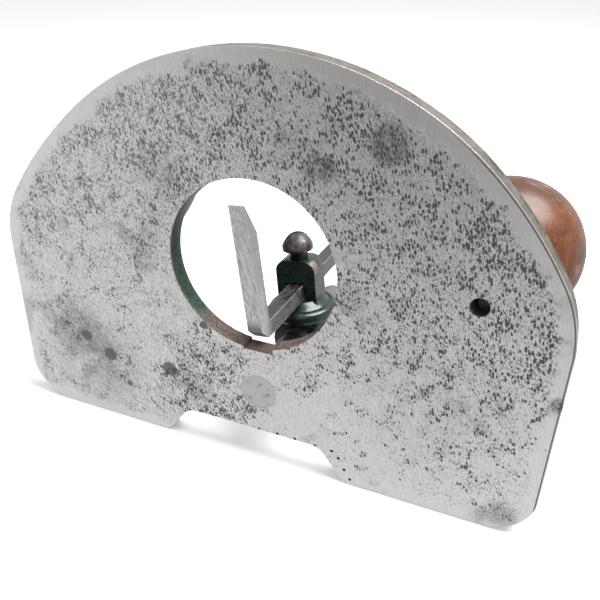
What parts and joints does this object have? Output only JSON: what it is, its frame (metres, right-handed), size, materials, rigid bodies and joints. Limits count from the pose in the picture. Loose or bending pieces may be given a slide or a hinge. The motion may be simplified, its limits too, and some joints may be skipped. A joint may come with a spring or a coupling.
{
  "type": "router plane",
  "caption": "Closed-throat hand router plane: flat D-shaped iron sole with a round throat, turned ball knobs, and an L-shaped cutter held by a screw clamp that slides on a steel pillar.",
  "frame": {"origin": "on the sole's plane, midway between the two sides and between the straight edge and the crown of the arch", "axes": "+Z square to the sole, towards the knobs; +Y from the straight, notched edge towards the arch; +X to the right of a user who faces the arch"},
  "size_m": [0.1926, 0.1384, 0.082],
  "materials": {
    "iron_plate": "ground and pitted sole, green paint above",
    "green_paint": "old dark green enamel, worn at the edges",
    "steel": "bright, scratched",
    "dark_steel": "dark, worn",
    "turned_wood": "old varnish over red-brown wood",
    "brass": "dull"
  },
  "bodies": {
    "plane": {"base": "iron_plate", "pillar": "steel", "knob_left": "turned_wood", "knob_right": "turned_wood", "stud_left": "steel", "stud_right": "steel", "nut_left": "brass", "nut_right": "brass"},
    "clamp_head": {"clamp_head": "green_paint"},
    "clamp_screw": {"clamp_screw": "dark_steel"},
    "lock_screw": {"lock_screw": "dark_steel"},
    "cutter": {"cutter": "steel"}
  },
  "joints": [
    {"name": "head_slide", "type": "slide", "parent": "plane", "child": "clamp_head", "axis": [0, 0, 1], "range_m": [-0.018, 0.026]},
    {"name": "cutter_slide", "type": "slide", "parent": "clamp_head", "child": "cutter", "axis": [0, 0, 1], "range_m": [-0.03, 0.025]},
    {"name": "clamp_screw_turn", "type": "hinge", "parent": "clamp_head", "child": "clamp_screw", "pos_m": [-0.00275, -0.0411, 0.042], "axis": [0.1097, 0.994, 0], "range_deg": [0, 720]},
    {"name": "lock_screw_turn", "type": "hinge", "parent": "clamp_head", "child": "lock_screw", "pos_m": [-0.00275, -0.0411, 0.042], "axis": [-0.1097, -0.994, 0], "range_deg": [0, 720]}
  ]
}
